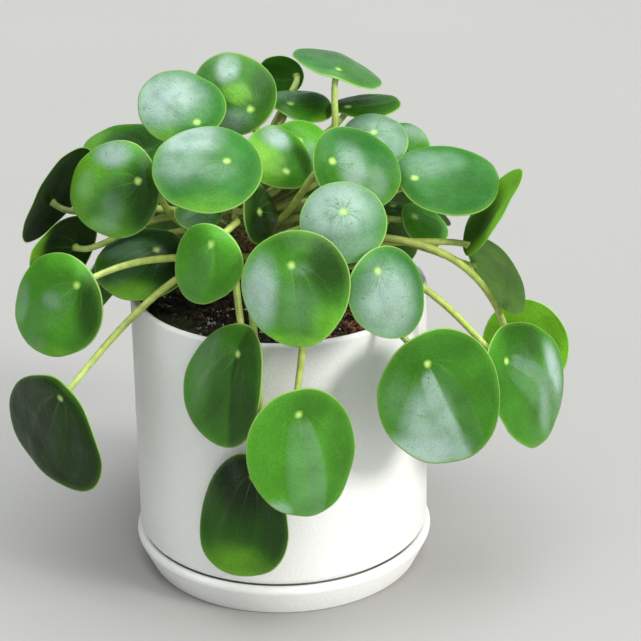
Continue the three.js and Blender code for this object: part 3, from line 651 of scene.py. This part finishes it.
def pebble(centre, size, rng, squash, rough):
    """Points of one small lump: the plain ball squashed, turned and roughened."""
    angle = rng.uniform(0, 6.28)
    axis = Vector((rng.uniform(-1, 1), rng.uniform(-1, 1), rng.uniform(-1, 1) + 1e-3))
    turn = Matrix.Rotation(angle, 3, axis)
    points = []
    for place in BALL[0]:
        r = size * (1 + rng.uniform(-rough, rough))
        p = turn @ Vector([v * r * narrow for v, narrow in zip(place, squash)])
        points.append(tuple(c + v for c, v in zip(centre, p)))
    return points


def scatter(name, count, material, rng, place, size, squash, rough=0.3, sink=0.3):
    """Small lumps strewn over the potting mix, as one piece."""
    parts = []
    trunk_x, trunk_y, _ = TRUNK["line"][0]
    for _ in range(count):
        x, y = place(rng)
        if math.hypot(x, y) > BITS_WITHIN or math.hypot(x - trunk_x, y - trunk_y) < TRUNK_CLEAR:
            continue
        r = rng.uniform(*size)
        centre = (x, y, soil_height(x, y) + r * squash[2] * sink)
        parts.append((pebble(centre, r, rng, squash, rough), BALL[1]))
    add_piece(name, *joined(parts), material, "soil", "soil", smooth_faces=False)


def anywhere(rng):
    a, r = rng.uniform(0, 2 * math.pi), BITS_SPREAD * math.sqrt(rng.random())
    return r * math.cos(a), r * math.sin(a)


def near(x, y, spread):
    return lambda rng: (rng.gauss(x, spread), rng.gauss(y, spread))


def strands(name, count, material, rng, place, length, radius, rise):
    """Short curved fibres lying on the potting mix, as one piece."""
    parts = []
    steps = STRAND_STEPS
    radii = [radius * (1 - 0.6 * k / steps) for k in range(steps + 1)]
    for _ in range(count):
        x, y = place(rng)
        heading, bend = rng.uniform(0, 2 * math.pi), rng.uniform(-1.2, 1.2)
        span = rng.uniform(*length)
        path = []
        for k in range(steps + 1):
            lift = rise * math.sin(math.pi * k / steps) * rng.uniform(0.6, 1.2)
            path.append(np.array((x, y, soil_height(x, y) + 0.4 + lift)))
            heading += bend / steps
            x += span / steps * math.cos(heading)
            y += span / steps * math.sin(heading)
        if max(math.hypot(p[0], p[1]) for p in path) <= BITS_WITHIN:
            parts.append(tube(path, radii, 4)[:2])
    add_piece(name, *joined(parts), material, "soil", "soil")


def make_soil_bits():
    """Loose bits on the potting mix: crumbs, bark, grit, moss and coir."""
    rng = random.Random(11)
    dark, bark, pale, coir, moss = (
        mottled_material(name, low, high, scale, relief)
        for name, low, high, scale, relief in (
            ("wet_crumbs", (0.06, 0.05, 0.045), (0.19, 0.16, 0.13), 700.0, 0.0006),
            ("bark_chips", (0.22, 0.15, 0.10), (0.52, 0.40, 0.29), 420.0, 0.0006),
            ("pale_grit", (0.58, 0.52, 0.46), (0.86, 0.83, 0.78), 900.0, 0.0003),
            ("coir_fibre", (0.36, 0.21, 0.13), (0.62, 0.42, 0.28), 800.0, 0.0003),
            ("moss", (0.12, 0.15, 0.06), (0.33, 0.37, 0.16), 900.0, 0.0006),
        )
    )
    mossy, mossy_back, coir_heap = near(-50, -38, 7), near(-20, 38, 18), near(38, -48, 9)
    for name, count, material, place, *form in (
        # ..., size, squash, roughness, how far a lump stands out
        ("soil_crumbs", 1500, dark, anywhere, (0.7, 2.3), (1, 0.9, 0.75), 0.35),
        ("soil_bark", 190, bark, anywhere, (1.2, 3.2), (1, 0.6, 0.28), 0.25, 1.2),
        ("soil_grit", 220, pale, anywhere, (0.35, 0.9), (1, 0.9, 0.8), 0.25, 0.8),
        ("soil_chips", 90, pale, near(-26, -48, 16), (0.8, 1.9), (1, 0.55, 0.4), 0.3, 1.0),
        ("soil_moss", 220, moss, mossy, (0.6, 1.9), (1, 1, 0.6), 0.4, 0.5),
        ("soil_moss_back", 160, moss, mossy_back, (0.6, 1.9), (1, 1, 0.6), 0.4, 0.5),
        ("soil_coir_bits", 240, coir, coir_heap, (0.5, 1.6), (1, 0.6, 0.5), 0.35, 0.6),
    ):
        scatter(name, count, material, rng, place, *form)
    # ..., length, radius, rise
    strands("soil_moss_tufts", 260, moss, rng, mossy, (2, 5), 0.22, 2.2)
    strands("soil_coir", 70, coir, rng, near(38, -46, 10), (8, 20), 0.32, 1.0)
    strands("soil_fibres", 90, bark, rng, anywhere, (6, 18), 0.28, 1.2)


# ---- trunk ----

UP = np.array([0.0, 0.0, 1.0])
LINE_STEPS = 200  # the trunk's centre line, measured in this many steps
TRUNK_SIDES, TRUNK_RINGS, TRUNK_SCARS = 44, 130, 20
BUD_RINGS = (0.15, 0.3, 0.45, 0.6, 0.75, 0.9, 1.0)
SCAR_WIDTH = 1.35  # of its height


def spline(points, t):
    """Catmull-Rom through points, t from 0 to 1."""
    n = len(points) - 1
    k = min(int(t * n), n - 1)
    f = t * n - k
    before = points[k - 1] if k else 2 * points[0] - points[1]
    after = points[k + 2] if k + 2 <= n else 2 * points[n] - points[n - 1]
    a, b = points[k], points[k + 1]
    square = (2 * before - 5 * a + 4 * b - after) * f**2
    cube = (3 * a - before - 3 * b + after) * f**3
    return 0.5 * (2 * a + (b - before) * f + square + cube)


TRUNK_POINTS = [np.array(p, float) for p in TRUNK["line"]]
TRUNK_LINE = [spline(TRUNK_POINTS, i / LINE_STEPS) for i in range(LINE_STEPS + 1)]
TRUNK_RUN = [0.0]
for a, b in zip(TRUNK_LINE, TRUNK_LINE[1:]):
    TRUNK_RUN.append(TRUNK_RUN[-1] + np.linalg.norm(b - a))


def trunk_at(share):
    """A point of the trunk's centre line, at a share of its length."""
    i = int(np.searchsorted(TRUNK_RUN, share * TRUNK_RUN[-1]))
    return TRUNK_LINE[min(i, LINE_STEPS)]


def trunk_radius(share):
    return TRUNK["root_radius"] + (TRUNK["tip_radius"] - TRUNK["root_radius"]) * share


def tube(path, radii, sides):
    """A round tube along a path in mm, and how far along it each point lies, from 0 to 1."""
    rings, shares = [], []
    last = len(path) - 1
    over = UP
    for k, centre in enumerate(path):
        ahead = unit(path[min(k + 1, last)] - path[max(k - 1, 0)])
        side = np.cross(ahead, over)
        side = unit(side) if np.linalg.norm(side) > 1e-6 else np.array([1.0, 0, 0])
        over = unit(np.cross(side, ahead))
        rings.append([centre + x * side + y * over for x, y, _ in circle(radii[k], 0, sides)])
        shares += [k / last] * sides
    return *stack(rings), shares


def trunk_rings():
    """Centres and heights of the trunk's rings: foot, stem and growing tip."""
    foot = TRUNK_POINTS[0].copy()
    foot[2] = SOIL["top"] - TRUNK["root_depth"] + 1
    rings = [(foot, 0.0)]
    rings += [(trunk_at(k / TRUNK_RINGS), k / TRUNK_RINGS) for k in range(TRUNK_RINGS + 1)]
    top = trunk_at(1.0)
    onward = unit(top - trunk_at(0.95)) * TRUNK["bud"]
    return rings + [(top + onward * t, 1 + t) for t in BUD_RINGS]


def scar_mark(scars, share, angle, radius):
    """Relief of the nearest leaf scar: a raised ring about a hollow."""
    mark = 0.0
    for where, middle, size in scars:
        aside = (angle - middle + math.pi) % (2 * math.pi) - math.pi
        up = (share - where) * TRUNK_RUN[-1] / size
        d = math.hypot(aside * radius / (size * SCAR_WIDTH), up)
        mark = max(mark, float(smooth(1.0, 0.7, d)) - 1.4 * float(smooth(0.65, 0.3, d)))
    return mark


def make_trunk(material):
    """The woody stem with the scars of fallen leaves, from its hole up to the growing tip."""
    rng = random.Random(5)
    scars = []
    for k in range(TRUNK_SCARS):
        middle = 2.4 * k + rng.uniform(-0.3, 0.3)
        scars.append((0.06 + 0.86 * k / (TRUNK_SCARS - 1), middle, rng.uniform(1.5, 2.3)))
    rings, highs, marks = [], [], []
    levels = trunk_rings()
    side = np.array([1.0, 0, 0])
    for k, (centre, share) in enumerate(levels):
        radius = trunk_radius(min(share, 1))
        if share > 1:
            radius *= 1 - 0.72 * (share - 1) ** 1.3
        ahead = unit(levels[min(k + 1, len(levels) - 1)][0] - levels[max(k - 1, 0)][0])
        over = unit(np.cross(ahead, side))
        side = np.cross(over, ahead)
        rings.append([])
        for a in around(TRUNK_SIDES):
            mark = scar_mark(scars, share, a, radius)
            x, y = math.cos(a), math.sin(a)
            wrinkle = 0.45 * noise.noise(Vector((x * 2, y * 2, share * 22)))
            wrinkle += 0.5 * noise.noise(Vector((x * 5, y * 5, share * 70)))
            r = radius + 0.1 + wrinkle + 0.6 * mark
            rings[-1].append(centre + r * (x * side + y * over))
            highs.append(min(share, 1.0))
            marks.append(max(mark, 0))
    points, faces = stack(rings, flip=True)
    floats = {"along": highs, "scar": marks}
    add_piece("woody_trunk", points, faces, material, "stem", "stem", floats=floats)


# ---- leaf stalks ----

STALK_SIDES, STALK_STEPS = 14, 34


def blade_frame(facing, turn):
    """The blade's normal, the way to its tip, and across."""
    a, e, t = (math.radians(x) for x in (*facing, turn))
    normal = np.array([math.sin(a) * math.cos(e), -math.cos(a) * math.cos(e), math.sin(e)])
    downhill = np.array([math.sin(a) * math.sin(e), -math.cos(a) * math.sin(e), -math.cos(e)])
    tip = downhill * math.cos(t) + np.cross(normal, downhill) * math.sin(t)
    return normal, tip, np.cross(normal, tip)


def stalk_curve(leaf):
    """The four points of a stalk's curve, from inside the trunk to under its blade."""
    _, eye, facing, turn, length, _, eye_share, cup, share, form = leaf
    normal, tip, _ = blade_frame(facing, turn)
    bow, reach, tilt = form.get("stalk", (None, STALK["reach"] * length, STALK["tilt"]))
    tilt = math.radians(tilt)
    slope = cup * BLADE["first_ring"] / (eye_share * length)
    end = np.array(eye, float) - normal * (BLADE["thickness"] + GAP + slope * STALK["tip"])
    late = end - (normal * math.cos(tilt) + tip * math.sin(tilt)) * reach
    centre = trunk_at(share)
    out = np.array(bow or late, float) - centre
    out[2] = 0
    out = unit(out)
    start = centre + out * (trunk_radius(share) - STALK["sunk"])
    span = np.linalg.norm(start - late)
    rise = UP * STALK["rise"] * span
    early = np.array(bow, float) if bow else start + out * STALK["outward"] * span + rise
    return start, early, late, end, normal


def make_stalks(material):
    """Each stalk, swollen at its root and flared at its joint, where it enters the blade."""
    for leaf in LEAVES:
        start, early, late, end, normal = stalk_curve(leaf)
        path, radii = [], []
        for k in range(STALK_STEPS + 1):
            t = k / STALK_STEPS
            s = 1 - t
            path.append(s**3 * start + 3 * s * s * t * early + 3 * s * t * t * late + t**3 * end)
            swelling = 0.5 * math.exp(-t / 0.035) + 0.55 * math.exp(-s / 0.025)
            radii.append(STALK["root"] + (STALK["tip"] - STALK["root"]) * t + swelling)
        path.append(np.array(leaf[1], float) - normal * 0.55)
        radii.append(radii[-1] * 0.95)
        points, faces, shares = tube(path, radii, STALK_SIDES)
        name = leaf[0].replace("leaf", "stalk")
        add_piece(name, points, faces, material, "stem", "stem", floats={"along": shares})


# ---- leaf blades ----

BLADE_SIDES = 96
# the rings of a blade, as shares of the way from the eye to the margin
SHARES = np.array(
    [0.03, 0.07, 0.12, *(0.18 + 0.06 * k for k in range(12)), 0.89, 0.93, 0.965, 0.985, 1.0]
)
WOBBLES = ((2, 0.006), (3, 0.008), (5, 0.005), (9, 0.003))  # of the margin: waves all round, size
EYE_DIP, UNDER_EYE = 0.45, -1.15  # the hollow over the stalk, and the underside's height there
EDGE_ROUND = 0.35  # how far in the edge is rounded


def arc_width(ahead):
    """Half the width of the strip between the arching veins, over half the blade's width."""
    return ARC * ahead**0.5 * (1.02 - ahead) ** 0.35


def blade_height(u, v, share, angle, reach, width, cup, form):
    """Height of the upper face over the eye, in mm."""
    aside = np.sqrt(v * v + BLADE["crease"] ** 2) - BLADE["crease"]
    fold = form.get("fold", BLADE["fold"]) * aside / (width / 2)
    high, waves, start = form.get("wave", (0, 0, 0))
    ahead = np.clip(u / reach, 0, 1)
    strip = smooth(1.3, 0.7, np.abs(v) / np.maximum(arc_width(ahead) * width / 2, 0.5))
    strip *= smooth(0.0, 0.25, ahead) * (1 - share**4)
    towards_tip = share**3 * (1 + np.cos(angle)) / 2
    wave = high * towards_tip * np.sin(waves * angle + math.radians(start))
    return wave - cup * share * share - fold + 0.8 * strip


def blade_grid(leaf, rng):
    """The upper face: two coordinates from the eye, height, and how far in from the margin."""
    _, _, _, _, length, width, eye_share, cup, _, form = leaf
    s, a = np.meshgrid(SHARES, np.array(around(BLADE_SIDES)), indexing="ij")
    waves = sum(size * np.sin(k * a + rng.uniform(0, 6.28)) for k, size in WOBBLES)
    reach = s * (1 + waves * s**2)
    u = reach * (length * (0.5 - eye_share) + length / 2 * np.cos(a))
    v = reach * (width / 2) * np.sin(a) * (1 + form.get("egg", BLADE["egg"]) * np.cos(a))
    h = blade_height(u, v, s, a, length * (1 - eye_share), width, cup, form)
    offset = rng.uniform(0, 50)
    places = zip(u.ravel() / 14, v.ravel() / 14)
    lumps = np.array([noise.noise(Vector((x, y, offset))) for x, y in places])
    h = h + 0.9 * lumps.reshape(u.shape) * smooth(0.1, 0.6, s)
    far = np.hypot(u, v)
    h = h - EYE_DIP * np.exp(-((far / 2.2) ** 2))
    edge = np.hypot(u[-1], v[-1])
    return u, v, h, far, (1 - s) * edge, edge.min()


def spots(zones, right, up):
    """How far places lie in soft round zones, from 0 to 1."""
    total = np.zeros_like(right)
    for x, y, wide, high, strength in zones:
        far = np.hypot((right - x) / wide, (up - y) / high)
        total = np.maximum(total, strength * smooth(1.25, 0.35, far))
    return total


def blade_zones(number, right, up, rng):
    """Painted sheen, painted shade and painted lime glow over the blade: from the tables, or at
    random for the leaves behind.
    """
    if number in LOOKS:
        tables = (PAINTED_SHEEN_ZONES, PAINTED_SHADE_ZONES, PAINTED_GLOW_ZONES)
        painted_sheen, shade, painted_glow = (spots(table.get(number, ()), right, up) for table in tables)
    else:
        lean = rng.uniform(-0.5, 0.5)
        painted_sheen = spots([(lean, 0.45, 0.7, 0.5, rng.uniform(0.15, 0.6))], right, up)
        shade = spots([(-lean * 1.6, -0.1, 0.5, 0.9, rng.uniform(0.2, 0.6))], right, up)
        painted_glow = spots([(0, -0.9, 0.8, 0.25, 0.35)], right, up)
    if number in CREASES:
        place, slant, strength = CREASES[number]
        beyond = (right + slant * up - place) * np.sign(strength)
        shade = np.maximum(shade, abs(strength) * smooth(-0.06, 0.06, beyond))
    return painted_sheen, shade, painted_glow


def blade_tones(leaf, u, v, rng):
    """Colours of the upper face and underside with painted light and shade, and the painted sheen,
    over the blade's grid.
    """
    name, _, _, turn, length, width, eye_share, *_ = leaf
    number = int(name[-2:])
    left, right, below = (np.array(linear(c))[:3] for c in LOOKS.get(number, PLAIN_LOOK))
    t = math.radians(turn)
    x = u - length * (0.5 - eye_share)
    rightwards = (x * math.sin(t) + v * math.cos(t)) / (width / 2)
    upwards = (v * math.sin(t) - x * math.cos(t)) / (length / 2)
    painted_sheen, shade, painted_glow = blade_zones(number, rightwards, upwards, rng)

    # painted side light: the upper face goes from its left tone to its right tone across the middle
    half = 0.5 + (smooth(-1.0, 1.0, v) - 0.5) * smooth(-7, 3, u)
    ahead = np.clip(u / (length * (1 - eye_share)), 0, 1)
    # the strip between the veins gets painted sheen and painted light and shade
    inner = smooth(1.14, 0.84, np.abs(v) / np.maximum(arc_width(ahead) * width / 2, 0.4))
    inner *= smooth(0.02, 0.12, ahead)
    sheen_left, sheen_right, gain_left, gain_right = STRIPS.get(number, PLAIN_STRIP)
    painted_sheen = np.maximum(painted_sheen, inner * (sheen_left + (sheen_right - sheen_left) * half))
    gain = 1 + inner * (gain_left + (gain_right - gain_left) * half - 1)
    gain *= rng.uniform(0.93, 1.07)

    # painted lime glow, then painted shade, over a tone
    def coloured(base):
        tone = base * gain[..., None]
        tone = tone + (np.array(linear(GLOW_LIME))[:3] - tone) * painted_glow[..., None]
        return tone * (1 - 0.8 * shade)[..., None]

    top = coloured(left + (right - left) * half[..., None])
    return top, coloured(below + 0 * top), painted_sheen * (1 - 0.6 * shade)


def make_blade(leaf, material):
    """A thin blade, thicker over its stalk, with a rounded edge."""
    name, eye, facing, turn, length, width, eye_share, *_ = leaf
    normal, tip, across = blade_frame(facing, turn)
    rng = random.Random(name)
    u, v, h, far, rim, rim_at_eye = blade_grid(leaf, rng)
    top, bottom, painted_sheen = blade_tones(leaf, u, v, rng)
    thick = 0.35 + 0.55 * smooth(0.0, 5.0, rim) + 0.25 * np.exp(-((far / 5) ** 2))
    in_edge = 1 - np.clip(rim / EDGE_ROUND, 0, 1)
    roundness = 0.5 * np.sqrt(np.clip(1 - in_edge**2, 0, 1))

    def column(upper, lower, first, last):
        """Values from the eye out to the margin, and back to the eye on the underside."""
        return np.concatenate([[first], upper.ravel(), lower[-2::-1].ravel(), [last]])

    x, y = column(u, u, 0, 0), column(v, v, 0, 0)
    z = column(h - thick * (0.5 - roundness), h - thick * (0.5 + roundness), -EYE_DIP, UNDER_EYE)
    places = np.array(eye) + np.outer(x, tip) + np.outer(y, across) + np.outer(z, normal)
    floats = {
        "eye": np.hypot(x, y),
        "rim": column(rim, rim, rim_at_eye, rim_at_eye),
        "under": column(0 * u, 0 * u + 1, 0, 1),
        "along": x / (length * (1 - eye_share)),
        "aside": y / (width / 2),
        # the painted sheen of the upper face, none below
        "painted_sheen": column(painted_sheen, 0 * painted_sheen, painted_sheen[0, 0], 0),
    }
    ends = top[0, 0], bottom[0, 0]
    rgb = [column(top[..., c], bottom[..., c], *(end[c] for end in ends)) for c in range(3)]
    tones = np.column_stack([*rgb, np.ones(len(x))])
    points, faces = stack([places[:1], *np.split(places[1:-1], 2 * len(SHARES) - 1), places[-1:]])
    piece_name = name.replace("leaf", "blade")
    add_piece(piece_name, points, faces, material, name, "leaf", floats=floats, tones=tones)


# ---- growing tip ----

SCALES, SCALE_GRID, SCALE_SKINS = 40, (5, 3), (0, 0.22)
LOOSE_SCALES = [
    # foot, way it points, length, width
    ((-20, -24, 194), (-0.75, -0.5, 0.25), 9, 3.4),
    ((-19, -26, 192), (-0.3, -0.85, 0.3), 8, 3.0),
    ((-17, -25, 190), (0.5, -0.75, 0.3), 6, 2.6),
    ((-21, -22, 196), (-0.7, -0.2, 0.6), 8, 3.0),
    ((-15, -21, 184), (-0.2, -0.9, -0.2), 5, 2.4),
    ((-18, -20, 187), (-0.8, -0.4, -0.2), 6, 2.4),
]
YOUNG_GRID, YOUNG_SKINS = (10, 9), (0, -0.45)
YOUNG = [
    # foot, height of the tip over the foot, lean, width, how far it is folded
    ((-18, -25, 193), 11, (-1.5, -8), 9, 0.6),
    ((-22, -24, 198), 9, (-6, -2), 6, 0.8),
    ((-17, -24, 200), 9, (4, -4), 5.5, 0.8),
]


def sheet(place, grid, skins):
    """Points and faces of a thin sheet of two skins, closed at its rim.

    place gives a point from its share of the way up, its place across, from -1 to 1, and its skin.
    """
    upward, across = grid
    layer = (upward + 1) * across
    steps = [divmod(k, across) for k in range(layer)]
    points = [place(i / upward, 2 * c / (across - 1) - 1, skin) for skin in skins for i, c in steps]
    faces = []
    for row in range(0, upward * across, across):
        for p in range(row, row + across - 1):
            q = p + layer
            faces.append((p, p + 1, p + across + 1, p + across))
            faces.append((q, q + across, q + across + 1, q + 1))
    rim = [*range(across), *range(2 * across - 1, layer, across)]
    rim += [*range(layer - 2, layer - across - 1, -1), *range(layer - 2 * across, 0, -across)]
    faces += [(b, a, a + layer, b + layer) for a, b in zip(rim, rim[1:] + rim[:1])]
    return points, faces


def stipule(foot, way, long, wide, curled):
    """One dry pointed scale."""
    way = unit(way)
    side = unit(np.cross(np.array([0.1, 0.2, 1.0]), way))
    back = np.cross(side, way)

    def place(t, w, skin):
        half = wide / 2 * (1 - t) ** 0.7 * (0.8 + 0.4 * t) + 0.05
        bend = 0.5 * abs(w) * half * curled - 1.2 * t * t + skin
        return foot + way * long * t + side * w * half + back * bend

    return sheet(place, SCALE_GRID, SCALE_SKINS)


def make_tip(material):
    """Dry stipules at the roots of the stalks, which stand out and up."""
    rng = random.Random(23)
    scales = []
    for k in range(SCALES):
        share = 0.35 + 0.65 * k / (SCALES - 1)
        angle = 2.4 * k + rng.uniform(-0.4, 0.4)
        out = np.array([math.cos(angle), math.sin(angle), 0.0])
        foot = trunk_at(share) + out * (trunk_radius(share) - 0.8)
        long, wide = rng.uniform(4, 7.5), rng.uniform(2.6, 4.2)
        scales.append((foot, out * rng.uniform(0.4, 0.9) + UP, long, wide))
    scales += [(np.array(foot), np.array(way), *size) for foot, way, *size in LOOSE_SCALES]
    parts = [stipule(*scale, 1 if k % 2 else -0.6) for k, scale in enumerate(scales)]
    add_piece("stipules", *joined(parts), material, "stem", "stem")


def young_leaf(foot, high, lean, wide, fold):
    """One cupped scoop."""
    foot, spine, out = np.array(foot), np.array([*lean, high]), unit(np.array([*lean, 0.0]))
    side = unit(np.cross(UP, out))

    def place(t, w, skin):
        half = wide / 2 * math.sin(math.pi * (0.06 + 0.9 * t) ** 0.8) + 0.15
        cup = 1.2 * math.sin(math.pi * t) - fold * half * w * w + skin
        return foot + spine * t + side * w * half * (1 - 0.25 * fold) + out * cup

    return sheet(place, YOUNG_GRID, YOUNG_SKINS)


def make_young_leaves(material):
    """The unfolding leaves of the growing tip."""
    points, faces = joined(young_leaf(*row) for row in YOUNG)
    upward, across = YOUNG_GRID
    shares = [0.4 + 0.6 * i / upward for i in range(upward + 1) for _ in range(across)]
    floats = {"along": shares * (2 * len(YOUNG))}
    add_piece("young_leaves", points, faces, material, "stem", "stem", floats=floats)


# ---- the stage ----

FLOOR = {"half": 12.0, "colour": (0.66, 0.65, 0.635), "rough": 0.9}
# patches of sky: towards, cosine where they begin and where they are full, brightness
SKY = [
    ((0.08, -0.04, 1.0), 0.78, 0.95, 4.3),
    ((0.62, -0.60, 0.45), 0.45, 0.95, 0.65),
    ((-0.45, -0.80, 0.40), 0.35, 0.95, 0.5),
]
SKY_COLOUR = (0.93, 0.975, 1.0, 1.0)
DIM = 0.13  # brightness of the sky between its patches
SUN = {"from": (0.72, -0.45, 0.42), "energy": 2.3, "angle": 16, "colour": (1.0, 0.985, 0.95)}
# the photograph's viewing angle: degrees, place in metres, focal length in picture widths
CAMERA = {"pitch": 24.15, "yaw": 1.03, "roll": -0.90, "place": (0, -1.160, 0.650)}
CAMERA_FOCAL, CAMERA_SENSOR, CAMERA_CLIP = 2500 / 641, 36, (0.05, 50)


def make_stage():
    mesh = bpy.data.meshes.new("floor")
    r = FLOOR["half"]
    mesh.from_pydata([(-r, -r, 0), (r, -r, 0), (r, r, 0), (-r, r, 0)], [], [(0, 1, 2, 3)])
    s = Shader("pale_floor")
    colour = s.mix(1.0, FLOOR["colour"], s.clouds(0.96, 1.0, 1.5), "MULTIPLY")
    mesh.materials.append(s.surface(colour, FLOOR["rough"]))
    placed("floor", mesh)


def make_sky():
    """A world of soft bright patches: an open sky overhead and brighter sides at the front."""
    s = Shader("soft_sky", "worlds")
    place = s.node("ShaderNodeTexCoord", {}).outputs["Generated"]
    total = DIM
    for towards, begins, full, bright in SKY:
        inputs = {0: place, 1: Vector(towards).normalized()}
        dot = s.node("ShaderNodeVectorMath", inputs, operation="DOT_PRODUCT").outputs["Value"]
        total = s.plus(total, s.remap(dot, begins, full, 0.0, bright))
    sky = s.tree.nodes["Background"].inputs
    sky["Color"].default_value = SKY_COLOUR
    s.put(sky["Strength"], total)
    bpy.context.scene.world = s.owner


def make_sun():
    """A large soft sun, left out of the reflections."""
    sun = placed("sun", bpy.data.lights.new("sun", "SUN"))
    sun.data.energy = SUN["energy"]
    sun.data.angle = math.radians(SUN["angle"])
    sun.data.color = SUN["colour"]
    sun.rotation_euler = Vector(SUN["from"]).to_track_quat("Z", "Y").to_euler()
    sun.visible_glossy = False


def make_camera():
    data = bpy.data.cameras.new("camera")
    data.sensor_width = CAMERA_SENSOR
    data.lens = CAMERA_SENSOR * CAMERA_FOCAL
    data.clip_start, data.clip_end = CAMERA_CLIP
    camera = placed("camera", data)
    turns = ((-CAMERA["yaw"], "Z"), (90 - CAMERA["pitch"], "X"), (CAMERA["roll"], "Z"))
    yaw, pitch, roll = (Matrix.Rotation(math.radians(turn), 4, axis) for turn, axis in turns)
    camera.matrix_world = Matrix.Translation(CAMERA["place"]) @ yaw @ pitch @ roll
    bpy.context.scene.camera = camera


# ---- everything ----

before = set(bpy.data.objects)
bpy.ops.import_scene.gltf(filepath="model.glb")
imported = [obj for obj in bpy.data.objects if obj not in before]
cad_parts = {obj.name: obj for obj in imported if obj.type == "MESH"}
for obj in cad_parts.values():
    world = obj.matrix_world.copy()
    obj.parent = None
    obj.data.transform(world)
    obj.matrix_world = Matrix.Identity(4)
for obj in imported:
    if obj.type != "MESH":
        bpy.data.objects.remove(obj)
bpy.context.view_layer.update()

bpy.context.scene.view_settings.view_transform = "Standard"
make_camera()
make_sky()
make_sun()
make_stage()

make_pot(ceramic_material())
BALL = ball()
potting_soil = mottled_material(
    "potting_soil",
    (0.04, 0.03, 0.025), (0.14, 0.105, 0.085), 260.0, 0.002, fleck=(0.34, 0.28, 0.22),
)
make_soil(potting_soil)
make_soil_bits()

make_trunk(bark_material())
make_stalks(petiole_material())
make_young_leaves(young_material())
dry_stipule = mottled_material(
    "dry_stipule", (0.50, 0.38, 0.26), (0.86, 0.80, 0.64), 500.0, 0.0003, (0.6, 0.85)
)
make_tip(dry_stipule)
leaf_green = blade_material()
for row in LEAVES:
    make_blade(row, leaf_green)
